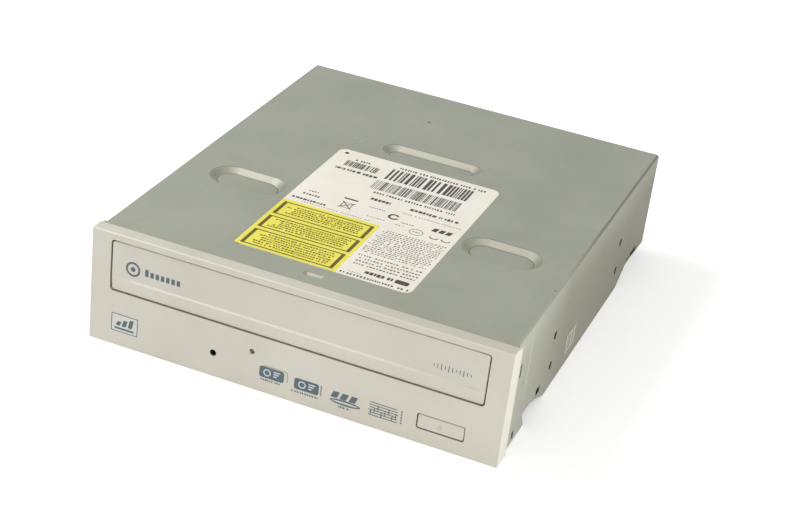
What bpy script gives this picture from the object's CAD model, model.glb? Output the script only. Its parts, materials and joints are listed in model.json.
import json
import math
import random

import bmesh
import bpy
from mathutils import Matrix, Vector


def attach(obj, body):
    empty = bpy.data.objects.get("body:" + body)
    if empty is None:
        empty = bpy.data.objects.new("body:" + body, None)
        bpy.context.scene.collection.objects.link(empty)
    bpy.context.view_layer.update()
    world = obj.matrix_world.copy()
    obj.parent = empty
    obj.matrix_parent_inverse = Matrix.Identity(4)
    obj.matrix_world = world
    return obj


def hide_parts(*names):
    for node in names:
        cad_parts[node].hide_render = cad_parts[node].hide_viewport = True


# Half-height internal disc drive. Metres in the scene, millimetres in the values below.
# X to the right, the bezel faces -Y, Z up, the drive stands on z = 0.

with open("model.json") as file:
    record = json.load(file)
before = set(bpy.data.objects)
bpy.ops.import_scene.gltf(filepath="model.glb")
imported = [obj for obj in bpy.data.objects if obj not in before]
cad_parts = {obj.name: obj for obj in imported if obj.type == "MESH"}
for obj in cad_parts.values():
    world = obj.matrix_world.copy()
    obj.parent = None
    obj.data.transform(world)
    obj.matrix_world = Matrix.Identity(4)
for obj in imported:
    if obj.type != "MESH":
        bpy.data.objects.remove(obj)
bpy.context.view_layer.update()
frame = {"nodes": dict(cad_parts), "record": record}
mm = 0.001


# camera, matched to the photograph's corners and screw holes
photoView = {
    "target": (4.213, -2.0, 13.613), "distance": 650.79, "azimuth": 18.827, "elevation": 28.062,
    "roll": 7.323, "focalPixels": 1795.84, "imageWidth": 800, "sensor": 36,
}


def setCamera(values):
    azimuth, elevation, roll = (math.radians(values[k]) for k in ("azimuth", "elevation", "roll"))
    back = Vector((math.sin(azimuth) * math.cos(elevation),
                   -math.cos(azimuth) * math.cos(elevation), math.sin(elevation)))
    level = Vector((0, 0, 1)).cross(back).normalized()
    upright = back.cross(level)
    right = math.cos(roll) * level + math.sin(roll) * upright
    up = -math.sin(roll) * level + math.cos(roll) * upright
    data = bpy.data.cameras.new("photoCamera")
    data.sensor_width = values["sensor"]
    data.lens = values["focalPixels"] * values["sensor"] / values["imageWidth"]
    data.clip_start, data.clip_end = 0.01, 20
    camera = bpy.data.objects.new("photoCamera", data)
    place = (Vector(values["target"]) + back * values["distance"]) * mm
    camera.matrix_world = Matrix.Translation(place) @ Matrix((right, up, back)).transposed().to_4x4()
    bpy.context.scene.collection.objects.link(camera)
    bpy.context.scene.camera = camera


setCamera(photoView)
print("camera set")


# shader graph written as expressions
class Value:
    def __init__(self, paint, socket):
        self.paint, self.socket = paint, socket

    def math(self, operation, *terms):
        return self.paint.node("ShaderNodeMath", {"operation": operation}, dict(enumerate(terms)))

    def __add__(self, other):
        return self.math("ADD", self, other)

    def __radd__(self, other):
        return self.math("ADD", other, self)

    def __sub__(self, other):
        return self.math("SUBTRACT", self, other)

    def __rsub__(self, other):
        return self.math("SUBTRACT", other, self)

    def __mul__(self, other):
        return self.math("MULTIPLY", self, other)

    def __rmul__(self, other):
        return self.math("MULTIPLY", other, self)

    def __abs__(self):
        return self.math("ABSOLUTE", self)


class Paint:
    def __init__(self, name, **fixed):
        self.material = bpy.data.materials.new(name)
        self.material.use_nodes = True
        self.tree = self.material.node_tree
        self.shader = self.tree.nodes["Principled BSDF"]
        place = self.node("ShaderNodeTexCoord", output="Object")
        self.place = self.vector("SCALE", {"Vector": place, "Scale": 1000})  # millimetres on the drive
        self.set(**fixed)

    def node(self, kind, settings=None, values=None, output=0):
        made = self.tree.nodes.new(kind)
        for name, setting in (settings or {}).items():
            setattr(made, name, setting)
        for name, value in (values or {}).items():
            self.feed(made.inputs[name], value)
        return Value(self, made.outputs[output])

    def feed(self, socket, value):
        if isinstance(value, Value):
            self.tree.links.new(value.socket, socket)
        elif isinstance(value, tuple) and socket.type == "RGBA":
            socket.default_value = (*value[:3], 1)
        else:
            socket.default_value = value

    def set(self, **values):
        names = {"colour": "Base Color", "roughness": "Roughness", "metal": "Metallic", "normal": "Normal",
                 "coat": "Coat Weight", "coatRoughness": "Coat Roughness", "ior": "IOR",
                 "specular": "Specular IOR Level", "glass": "Transmission Weight", "soft": "Subsurface Weight",
                 "glow": "Emission Color", "glowStrength": "Emission Strength"}
        for name, value in values.items():
            self.feed(self.shader.inputs[names[name]], value)
        return self

    def vector(self, operation, values, output=0):
        return self.node("ShaderNodeVectorMath", {"operation": operation}, values, output)

    def axis(self, letter, vector=None):
        return self.node("ShaderNodeSeparateXYZ", None, {0: vector or self.place}, letter)

    def facing(self, letter):
        return self.axis(letter, self.node("ShaderNodeTexCoord", output="Normal"))

    def near(self, place, radius):
        away = self.vector("DISTANCE", {0: self.place, 1: place}, "Value")
        return self.band(away, radius, radius * 0.6)

    def noise(self, size, detail=2, roughness=0.5, stretch=(1, 1, 1)):
        place = self.vector("MULTIPLY", {0: self.place, 1: stretch})
        return self.node("ShaderNodeTexNoise", {"noise_dimensions": "3D"},
                         {"Vector": place, "Scale": 1 / size, "Detail": detail, "Roughness": roughness}, "Fac")

    def cells(self, size, output="Distance"):
        return self.node("ShaderNodeTexVoronoi", {"feature": "F1"},
                         {"Vector": self.place, "Scale": 1 / size}, output)

    def waves(self, direction, vector, scale, distortion):
        return self.node("ShaderNodeTexWave", {"wave_type": "BANDS", "bands_direction": direction},
                         {"Vector": vector, "Scale": scale, "Distortion": distortion}, "Fac")

    def mix(self, first, second, share, blend="MIX"):
        return self.node("ShaderNodeMix", {"data_type": "RGBA", "blend_type": blend},
                         {0: share, 6: first, 7: second}, 2)

    def band(self, value, low, high, start=0.0, end=1.0):
        return self.node("ShaderNodeMapRange", {"clamp": True},
                         {"Value": value, "From Min": low, "From Max": high, "To Min": start, "To Max": end})

    def within(self, value, steps):
        return self.band(value, steps[0], steps[1]) * self.band(value, steps[3], steps[2])

    def swing(self, fields, shares):  # noises about their middle, each with its own share
        return sum((field - 0.5) * share for field, share in zip(fields, shares))

    def relief(self, height, depth, strength):
        return self.node("ShaderNodeBump", None,
                         {"Strength": strength, "Distance": depth * mm, "Height": height})


def shade(red, green, blue):
    def linear(value):
        value = value / 255
        return value / 12.92 if value <= 0.04045 else ((value + 0.055) / 1.055) ** 2.4
    return tuple(linear(value) for value in (red, green, blue))


print("shader tools ready")


# galvanised sheet, bare inside and marked by handling on the cover
sheetSteel = {
    "light": shade(172, 175, 161), "dark": shade(164, 168, 154), "warm": shade(160, 157, 139),
    "speck": shade(120, 122, 112), "roughness": 0.5, "metal": 0.35, "specular": 0.3,
    "blotch": (34, 3, 0.55), "blotchBand": (0.32, 0.68), "grain": (0.3, 2, 0.6), "stains": (13, 4, 0.65),
    "swing": (0.08, 0.14), "relief": (0.02, 0.7), "spangle": 1.7, "spangleShare": 0.018,
    "stain": (0.56, 0.78, 0, 0.3), "speckBand": (0.6, 0.95, 0, 0.12),
}
coverSteel = {
    "fold": (72.2, 73.0), "sideShare": 0.94, "sideFront": shade(157, 160, 147),
    "sideMiddle": shade(110, 108, 94), "sideRear": shade(94, 90, 75), "front": (-22.0, -82.0, 0, 0.8),
    "rear": (-10.0, 82.0),
    "high": (30.0, 41.0, 0, 0.25), "cut": shade(30, 29, 26), "cutDepth": (72.85, 72.55), "cutHeights": (36, 35),
    "wall": shade(200, 197, 180), "wallHeights": (39.75, 39.95, 41.3, 41.5), "wallWear": (0.25, 0.6, 0.5, 1),
    "wallEnd": shade(143, 145, 132), "turnedRight": (0.2, 0.65), "turnedLeft": (-0.02, -0.3),
    "foot": shade(104, 106, 96), "footHeights": (39.2, 39.3, 39.66, 39.73), "footShare": 0.8,
    "rim": shade(118, 120, 108), "rimHeights": (41.4, 41.46, 41.6, 41.64), "rimAcross": (70, 69),
    "rimShare": 0.5,
    "foldShade": shade(92, 92, 81), "foldAcross": (71.95, 72.2), "foldHeights": (40.95, 41.2),
    "foldAlong": (-30, 8, 0, 0.55), "seam": shade(186, 189, 177), "seamAlong": (-65.1, -64.6, -64.1, -63.4),
    "seamHeights": (12, 20, 36, 39), "seamShare": 0.35, "markShare": 0.8, "plainSide": 0.9,
    "marks": [((71.75, -40.3, 41.4), 0.55, shade(70, 70, 62)), ((73, -68.5, 21.7), 0.7, shade(96, 96, 84)),
              ((-30.8, 30.2, 41.65), 0.5, shade(205, 207, 198)),
              ((-30.5, 31.5, 41.65), 0.4, shade(205, 207, 198)),
              ((-27.5, 29.4, 41.65), 0.45, shade(205, 207, 198))],
}


def coverTones(paint, tone, grain, own):
    across, along, height = abs(paint.axis("X")), paint.axis("Y"), paint.axis("Z")
    flank = paint.band(across, *own["fold"])
    inside = 1 - flank
    # the sides are duller, lighter at the front and warmer to the rear
    side = paint.mix(own["sideMiddle"], own["sideRear"], paint.band(along, *own["rear"]))
    pale = paint.band(along, *own["front"]) + paint.band(height, *own["high"])
    side = paint.mix(side, own["sideFront"], pale)
    # dark cut edges in the sides' holes, rubbed walls in the top's pockets and dirt at their foot
    cut = paint.band(across, *own["cutDepth"]) * paint.band(height, *own["cutHeights"])
    facing = paint.facing("X")
    turned = paint.band(facing, *own["turnedRight"]) + paint.band(facing, *own["turnedLeft"])
    wall = paint.within(height, own["wallHeights"]) * inside * paint.band(grain, *own["wallWear"])
    foot = paint.within(height, own["footHeights"]) * inside * own["footShare"]
    rim = paint.within(height, own["rimHeights"]) * paint.band(across, *own["rimAcross"]) * own["rimShare"]
    # a darker fold towards the rear, a pressed seam behind the bezel and a few small marks
    crease = paint.band(across, *own["foldAcross"]) * paint.band(height, *own["foldHeights"])
    seam = paint.within(along, own["seamAlong"]) * paint.within(height, own["seamHeights"]) * flank
    layers = [(side, flank * own["sideShare"]), (own["cut"], cut),
              (paint.mix(own["wall"], own["wallEnd"], turned), wall), (own["foot"], foot), (own["rim"], rim),
              (own["foldShade"], crease * paint.band(along, *own["foldAlong"])),
              (own["seam"], seam * own["seamShare"])]
    layers += [(mark, paint.near(place, radius) * own["markShare"]) for place, radius, mark in own["marks"]]
    for layer, share in layers:
        tone = paint.mix(tone, layer, share)
    return tone, 1 - flank * own["plainSide"]


def galvanised(name, values, own=None):
    paint = Paint(name, metal=values["metal"], specular=values["specular"])
    blotch, grain = paint.noise(*values["blotch"]), paint.noise(*values["grain"])
    tone, plain = paint.mix(values["dark"], values["light"], paint.band(blotch, *values["blotchBand"])), 1.0
    if own:
        tone, plain = coverTones(paint, tone, grain, own)
    stain = paint.band(paint.noise(*values["stains"]), *values["stain"])
    tone = paint.mix(tone, values["warm"], stain * plain)
    tone = paint.mix(tone, paint.cells(values["spangle"], "Color"), values["spangleShare"], "OVERLAY")
    tone = paint.mix(tone, values["speck"], paint.band(grain, *values["speckBand"]))
    rough = values["roughness"] + paint.swing((blotch, grain), values["swing"])
    return paint.set(colour=tone, roughness=rough, normal=paint.relief(grain, *values["relief"])).material


# finishes that differ only in their values: two tones, the noises that mix them, and which of those
# noises the roughness (middle, swing) and the relief (depth, strength) follow
def plainFinish(name, tones, noises, spread=(0.3, 0.7), rough=(0.5, 0.2), roughBy=0, relief=None, reliefBy=0,
                **fixed):
    paint = Paint(name, **fixed)
    fields = [paint.noise(*row) for row in noises]
    paint.set(colour=paint.mix(*tones, paint.band(fields[0], *spread)),
              roughness=rough[0] + (fields[roughBy] - 0.5) * rough[1])
    if relief:
        paint.set(normal=paint.relief(fields[reliefBy], *relief))
    return paint.material


finishes = {
    "galvanised_steel": galvanised("galvanised sheet", sheetSteel),
    "bright_steel": plainFinish("plated steel", (shade(176, 178, 181), shade(206, 207, 208)),
                                [(0.8, 2, 0.5, (1, 0.12, 1)), (5, 3, 0.6)], rough=(0.28, 0.2), roughBy=1,
                                relief=(0.004, 0.4), metal=1.0),
    "cast_metal": plainFinish("cast metal", (shade(140, 143, 146), shade(176, 178, 180)),
                              [(7, 2, 0.5), (0.5, 3, 0.6)], rough=(0.5, 0.25), roughBy=1,
                              relief=(0.02, 0.6), reliefBy=1, metal=0.9),
    "clear_plastic": plainFinish("smoked clear plastic", (shade(150, 138, 116), shade(176, 165, 142)),
                                 [(0.6, 2, 0.5)], (0, 1), (0.22, 0.12), glass=0.55, ior=1.49),
    "black_rubber": plainFinish("black rubber", (shade(22, 22, 22), shade(40, 40, 40)),
                                [(0.3, 3, 0.6)], (0.35, 0.8), (0.82, 0.2), relief=(0.02, 0.6)),
    "lens_glass": plainFinish("coated lens", (shade(120, 140, 190), shade(150, 120, 180)), [(1.5, 1, 0.5)],
                              (0, 1), (0.055, 0.03), glass=0.7, ior=1.52, coat=0.8, coatRoughness=0.05),
}
coverFinish = galvanised("galvanised cover", sheetSteel, coverSteel)
sidePaperFinish = plainFinish("steel-toned paper", (shade(138, 136, 121), shade(150, 148, 133)),
                              [(0.5, 4, 0.65)], (0.35, 0.65), relief=(0.004, 0.5))
inks = {
    "slate": (shade(78, 94, 104), shade(98, 112, 120)), "pale": (shade(199, 205, 205), shade(208, 211, 208)),
    "ground": (shade(202, 203, 196), shade(205, 205, 197)), "black": (shade(66, 64, 62), shade(96, 93, 88)),
    "grey": (shade(108, 104, 98), shade(138, 133, 125)), "olive": (shade(92, 84, 18), shade(124, 115, 30)),
    "umber": (shade(92, 86, 66), shade(112, 106, 86)), "button": (shade(176, 172, 158), shade(186, 182, 168)),
}
ink = {name: plainFinish(name + " ink", tones, [(0.14, 2, 0.6)], (0.5, 0.75)) for name, tones in inks.items()}


# mouldings; the bezel's rims and ends catch the light in their own way
mouldings = {
    "bezel_plastic": {"light": shade(204, 200, 188), "dark": shade(198, 194, 181), "roughness": 0.52,
                      "grain": 0.28, "depth": 0.012, "soft": 0, "edges": True},
    "dark_plastic": {"light": shade(52, 53, 55), "dark": shade(40, 41, 43), "roughness": 0.55,
                     "grain": 0.35, "depth": 0.014, "soft": 0, "edges": False},
    "white_plastic": {"light": shade(226, 224, 214), "dark": shade(214, 212, 201), "roughness": 0.38,
                      "grain": 0.9, "depth": 0.006, "soft": 0.05, "edges": False},
}
mouldSkin = {"cloud": (26, 3, 0.5), "band": (0.3, 0.7), "grain": (2, 0.6), "swing": (0.16, 0.08),
             "strength": 0.7}
bezelEdges = {
    "light": shade(236, 231, 218), "edgeHeights": (41.58, 41.68), "edgeDepth": (-86.62, -86.72),
    "edgeAcross": (-72, 50, 0.75, 0.3), "dull": shade(184, 177, 162), "dullHeights": (41.75, 41.95),
    "dullAcross": (-10, 60, 0, 0.45), "creaseHeights": (25.5, 25.6, 26.15, 26.25),
    "creaseDepth": (-86.4, -86.55), "creaseAcross": (-66, -58, 20, 72), "creaseShare": 0.8,
    "ends": (73.85, 73.97), "endTone": shade(188, 185, 173),
}


def edgeTones(paint, tone, own):
    across, along, height = (paint.axis(letter) for letter in "XYZ")
    dull = paint.band(height, *own["dullHeights"]) * paint.band(across, *own["dullAcross"])
    edge = paint.band(height, *own["edgeHeights"]) * paint.band(along, *own["edgeDepth"])
    crease = paint.within(height, own["creaseHeights"]) * paint.band(along, *own["creaseDepth"])
    for layer, share in ((own["dull"], dull), (own["endTone"], paint.band(abs(across), *own["ends"])),
                         (own["light"], edge * paint.band(across, *own["edgeAcross"])),
                         (own["light"],
                          crease * paint.within(across, own["creaseAcross"]) * own["creaseShare"])):
        tone = paint.mix(tone, layer, share)
    return tone


def moulding(name, values, skin=mouldSkin):
    paint = Paint(name, soft=values["soft"])
    cloud, grain = paint.noise(*skin["cloud"]), paint.noise(values["grain"], *skin["grain"])
    tone = paint.mix(values["dark"], values["light"], paint.band(cloud, *skin["band"]))
    if values["edges"]:
        tone = edgeTones(paint, tone, bezelEdges)
    rough = values["roughness"] + paint.swing((grain, cloud), skin["swing"])
    relief = paint.relief(grain, values["depth"], skin["strength"])
    return paint.set(colour=tone, roughness=rough, normal=relief).material


# boards, cables and paper
circuit = {
    "mask": shade(28, 84, 56), "track": shade(46, 112, 74), "pad": shade(190, 184, 160), "coat": 0.3,
    "coatRoughness": 0.3, "pads": 1.9, "padBand": (0.17, 0.12), "wander": (5.7, 0.02), "waves": (0.45, 0.4),
    "trackBand": (0.55, 0.62), "roughness": 0.35, "cloud": (12, 0.2), "relief": (0.02, 0.4),
}
film = {"edge": shade(168, 164, 158), "strand": shade(226, 224, 220), "waves": (0.31, 0.0), "band": (0.25, 0.6),
        "roughness": 0.36, "cloud": (2, 0.12), "relief": (0.04, 0.7)}
pulp = {"fibre": (0.5, 4, 0.65), "cloud": (17, 2, 0.5), "band": (0.38, 0.62), "swing": 0.14,
        "relief": (0.004, 0.5)}
papers = {
    "white_paper": {"light": shade(239, 234, 223), "dark": shade(230, 224, 211), "roughness": 0.5},
    "yellow_paper": {"light": shade(238, 228, 96), "dark": shade(229, 219, 82), "roughness": 0.48},
}


def circuitBoard(name, values):
    paint = Paint(name, coat=values["coat"], coatRoughness=values["coatRoughness"])
    (wander, stray), (cloud, swing) = values["wander"], values["cloud"]
    bent = paint.mix(paint.place, paint.cells(wander, "Color"), stray)
    tracks = paint.waves("DIAGONAL", bent, *values["waves"])
    tone = paint.mix(values["mask"], values["track"], paint.band(tracks, *values["trackBand"]))
    tone = paint.mix(tone, values["pad"], paint.band(paint.cells(values["pads"]), *values["padBand"]))
    rough = values["roughness"] + paint.noise(cloud) * swing
    return paint.set(colour=tone, roughness=rough, normal=paint.relief(tracks, *values["relief"])).material


def filmCable(name, values):
    paint = Paint(name)
    strands, (cloud, swing) = paint.waves("X", paint.place, *values["waves"]), values["cloud"]
    tone = paint.mix(values["edge"], values["strand"], paint.band(strands, *values["band"]))
    rough = values["roughness"] + paint.noise(cloud) * swing
    return paint.set(colour=tone, roughness=rough, normal=paint.relief(strands, *values["relief"])).material


def coatedPaper(name, values, grain=pulp):
    paint = Paint(name)
    fibre, cloud = paint.noise(*grain["fibre"]), paint.noise(*grain["cloud"])
    tone = paint.mix(values["dark"], values["light"], paint.band(fibre * 0.5 + cloud * 0.5, *grain["band"]))
    rough = values["roughness"] + (fibre - 0.5) * grain["swing"]
    return paint.set(colour=tone, roughness=rough, normal=paint.relief(fibre, *grain["relief"])).material


finishes["circuit_board"] = circuitBoard("circuit board", circuit)
finishes["ribbon_cable"] = filmCable("ribbon cable", film)
for rows, mixFinish in ((mouldings, moulding), (papers, coatedPaper)):
    for finishName, row in rows.items():
        finishes[finishName] = mixFinish(finishName.replace("_", " "), row)
print("finishes mixed:", len(finishes) + len(ink))


# mesh tools
def outline(across, along, radius, grow=0.0, steps=5):
    (left, right), (near, far) = across, along
    bend = max(radius + grow, 0.01)
    inset = bend - grow
    centres = [(right - inset, near + inset), (right - inset, far - inset),
               (left + inset, far - inset), (left + inset, near + inset)]
    points = []
    for corner, (a, b) in enumerate(centres):
        for step in range(steps + 1):
            angle = (corner - 1 + step / steps) * math.pi / 2
            points.append((a + bend * math.cos(angle), b + bend * math.sin(angle)))
    return points


def circle(middle, radius, sides=32):
    turns = [2 * math.pi * i / sides for i in range(sides)]
    return [(middle[0] + radius * math.cos(turn), middle[1] + radius * math.sin(turn)) for turn in turns]


def roundedEdge(radius, steps=4):  # grow and depth of a rounded front edge, from the face inwards
    turns = [step / steps * math.pi / 2 for step in range(steps, -1, -1)]
    return [(-radius * (1 - math.cos(turn)), radius * (1 - math.sin(turn))) for turn in turns]


def span(middle, width):
    return middle - width / 2, middle + width / 2


def mirrored(side, near, far):
    return sorted((side * near, side * far))


def lifted(levels, start, way=1):
    return [(grow, start + way * rise) for grow, rise in levels]


def between(low, high):  # levels of a straight slab
    return [(0, low), (0, high)]


def onFront(points, y):
    return [(x, y, z) for x, z in points]


def onTop(points, z):
    return [(x, y, z) for x, y in points]


def onSide(points, x):
    return [(x, y, z) for y, z in points]


class Shell:
    def __init__(self, place=None):
        self.mesh = bmesh.new()
        self.place = place or Vector

    def ring(self, points):
        return [self.mesh.verts.new(Vector(self.place(point)) * mm) for point in points]

    def strip(self, first, second, closed=True):
        for i in range(len(first) if closed else len(first) - 1):
            j = (i + 1) % len(first)
            self.mesh.faces.new((first[i], first[j], second[j], second[i]))

    def loft(self, rings, closed=True):
        for first, second in zip(rings, rings[1:]):
            self.strip(first, second, closed)

    def cover(self, *rings):
        edges = []
        for ring in rings:
            for first, second in zip(ring, ring[1:] + ring[:1]):
                edges.append(self.mesh.edges.get((first, second)) or self.mesh.edges.new((first, second)))
        bmesh.ops.triangle_fill(self.mesh, use_beauty=True, edges=edges)

    def block(self, x, y, z):
        corners = self.ring([(a, b, c) for a in x for b in y for c in z])
        for face in ((0, 1, 3, 2), (4, 6, 7, 5), (0, 4, 5, 1), (2, 3, 7, 6), (0, 2, 6, 4), (1, 5, 7, 3)):
            self.mesh.faces.new([corners[i] for i in face])

    def stack(self, *outlines):
        self.capped([self.ring(points) for points in outlines])

    def capped(self, rings):
        self.loft(rings)
        self.cover(rings[0])
        self.cover(rings[-1])

    def rounded(self, across, along, corner, steps, levels, lay=onTop):
        return [self.ring(lay(outline(across, along, corner, grow, steps), height)) for grow, height in levels]

    def slab(self, *shape, **style):  # a rounded rectangle through its levels of (grow, height)
        self.capped(self.rounded(*shape, **style))

    def turned(self, profile, middle, axis="z", sides=48, closed=False):
        lay = {"x": onSide, "y": onFront, "z": onTop}[axis]
        rings = [self.ring(lay(circle(middle, radius, sides), height)) for radius, height in profile]
        if closed:
            self.loft(rings + rings[:1])
        else:
            self.capped(rings)

    def bore(self, spot, radius, low, high, sides=24):
        self.turned([(radius, low), (radius, high)], spot, sides=sides)

    def closed(self):
        bmesh.ops.remove_doubles(self.mesh, verts=self.mesh.verts, dist=2e-6)
        bmesh.ops.recalc_face_normals(self.mesh, faces=self.mesh.faces)
        data = bpy.data.meshes.new("shell")
        self.mesh.to_mesh(data)
        self.mesh.free()
        return data

    def piece(self, name, body, slot, replaced=(), material=None, bevel=0.0, thick=0.0, sharp=38):
        data = self.closed()
        data.name = name
        data.materials.append(material or finishes[slot])
        made = bpy.data.objects.new(name, data)
        bpy.context.scene.collection.objects.link(made)
        if thick:
            sheet = made.modifiers.new("sheet", "SOLIDIFY")
            sheet.thickness, sheet.offset = thick * mm, -1
            made.data = finalMesh(made)
            made.modifiers.clear()
        soften(made, bevel, sharp)
        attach(made, body)
        if replaced:
            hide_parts(*replaced)


def finalMesh(made):
    return bpy.data.meshes.new_from_object(made.evaluated_get(bpy.context.evaluated_depsgraph_get()))


def carved(solid, cutters):  # one closed shell cut out of another, with its flat faces joined up
    holders = []
    for shell in (solid, cutters):
        holder = bpy.data.objects.new("blank", shell.closed())
        bpy.context.scene.collection.objects.link(holder)
        holders.append(holder)
    cut = holders[0].modifiers.new("cut", "BOOLEAN")
    cut.operation, cut.solver, cut.object, cut.use_self = "DIFFERENCE", "EXACT", holders[1], True
    cutData = finalMesh(holders[0])
    for holder in holders:
        data = holder.data
        bpy.data.objects.remove(holder)
        bpy.data.meshes.remove(data)
    shell = Shell()
    shell.mesh.from_mesh(cutData)
    bpy.data.meshes.remove(cutData)
    bmesh.ops.dissolve_limit(shell.mesh, angle_limit=math.radians(0.4), use_dissolve_boundaries=False,
                             verts=shell.mesh.verts, edges=shell.mesh.edges)
    return shell


def soften(made, bevel, sharp):
    if bevel:
        edge = made.modifiers.new("edge", "BEVEL")
        edge.width, edge.segments, edge.limit_method = bevel * mm, 2, "ANGLE"
        edge.angle_limit = math.radians(sharp)
        edge.use_clamp_overlap = True
    made.data.shade_smooth()
    made.data.set_sharp_from_angle(angle=math.radians(sharp))
    made.modifiers.new("shading", "WEIGHTED_NORMAL").keep_sharp = True


# top cover: one sheet folded over the top and both sides, with four pressed pockets
coverSheet = {
    "front": -81.5, "rear": 87.0, "half": 73.0, "top": 41.65, "fold": 1.1, "thick": 0.8, "foldSteps": 6,
    "pockets": [(-47.9, -25.4, 28, 15.4), (47.9, -25.4, 28, 15.4), (0.5, 29.8, 38.2, 10.4),
                (0.6, -75.1, 7.4, 2.6)], "fullWidth": 6,
    "pocketWall": [(0.35, 0.0), (0.1, 0.05), (-0.15, 0.2), (-0.5, 0.48), (-1.1, 0.98), (-1.7, 1.47),
                   (-2.2, 1.87), (-2.45, 2.02), (-2.6, 1.98), (-2.9, 1.9)],
    "dimple": (-12.9, 61.4), "dimpleWall": [(0.8, 0.0), (0.66, 0.1), (0.55, 0.9), (0.45, 2.3)],
    "bayHoles": [(y, z) for y in (-34.4, 44.85) for z in (10.35, 22.19)], "bayRadius": 1.6,
    "slots": [((-48.4, -44.4), (5.35, 8.15)), ((-72.0, -69.8), (1.85, 4.65)), ((67.2, 75.6), (5.6, 7.5)),
              ((61.4, 66.6), (6.3, 6.95)), ((-74.4, -72.8), (26.4, 31.3))], "slotCorner": 0.3,
    "lowerEdge": [(-81.5, 0.35), (-59.0, 0.35), (-62.5, 6.25), (-55.0, 6.25), (-47.0, 3.95), (-38.4, 0.35),
                  (50.0, 0.35), (55.5, 2.6), (59.1, 4.2), (61.1, 5.3), (68.0, 5.3), (76.0, 4.6), (87.0, 3.9)],
}


def topCover(values):
    shell = Shell()
    half, top, fold = values["half"], values["top"], values["fold"]
    front, rear, steps = values["front"], values["rear"], values["foldSteps"]
    corners = [(-half + fold, front), (half - fold, front), (half - fold, rear), (-half + fold, rear)]
    plate = [shell.ring(onTop(corners, top))]
    for x, y, length, width in values["pockets"]:
        scale = min(1, width / values["fullWidth"])
        levels = [(grow * scale, top - drop * scale) for grow, drop in values["pocketWall"]]
        rings = shell.rounded(span(x, length), span(y, width), width / 2 * 0.999, 10, levels)
        shell.loft(rings)
        shell.cover(rings[-1])
        plate.append(rings[0])
    rings = [shell.ring(onTop(circle(values["dimple"], radius, 24), level))
             for radius, level in lifted(values["dimpleWall"], top, -1)]
    shell.loft(rings)
    shell.cover(rings[-1])
    shell.cover(*plate, rings[0])
    for side in (-1, 1):
        turns = [step / steps * math.pi / 2 for step in range(steps + 1)]
        rows = [shell.ring([(side * (half - fold + fold * math.sin(turn)), y,
                             top - fold + fold * math.cos(turn)) for y in (front, rear)]) for turn in turns]
        shell.loft(rows, closed=False)
        edge = values["lowerEdge"] + [(rear, top - fold), (front, top - fold)]
        cuts = [circle(spot, values["bayRadius"], 24) for spot in values["bayHoles"]]
        cuts += [outline(*slot, values["slotCorner"], 0, 2) for slot in values["slots"]]
        shell.cover(*[shell.ring(onSide(ring, side * half)) for ring in [edge] + cuts])
    shell.piece("cover_sheet", "case", "galvanised_steel", ["top_cover"], coverFinish,
                thick=values["thick"], sharp=30)


topCover(coverSheet)
print("top cover folded")


# front bezel
bezelFace = {
    "half": 74.0, "height": 42.0, "front": -87.0, "rear": -81.8, "corner": 0.4, "edge": 0.35,
    "plate": 2.4, "rim": 2.5, "overlap": 0.2, "backEdge": 0.3,
    "opening": ((-66.75, 66.75), (20.5, 39.55)), "openingCorner": 1.2, "openingEdge": 0.25,
    "button": ((45.35, 61.85), (5.405, 11.155)), "buttonCorner": 0.8, "buttonEdge": 0.2,
    "ejectHole": ((-27.4, 8.95), 1.2), "lightHole": ((-13.5, 14.05), 0.95),
    "holeEdge": [(0.15, 0), (0.05, 0.05), (0, 0.15)],
    "pocketTop": 18.55, "pocketCorner": 0.5, "sideClips": (26.7, 31.0), "clipOutside": 71.9, "clipThick": 1.4,
    "clipRear": -72.8, "nub": (-74.1, -73.1), "nubOutside": 72.7,
    "footClips": (-30, 30), "footWidth": 12, "footRear": -74.8, "footHeights": (1.45, 2.55),
    "lipRear": -79.4, "lipThick": 0.85, "lipHeights": (0.5, 41.2), "lipInset": 0.02,
}


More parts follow.
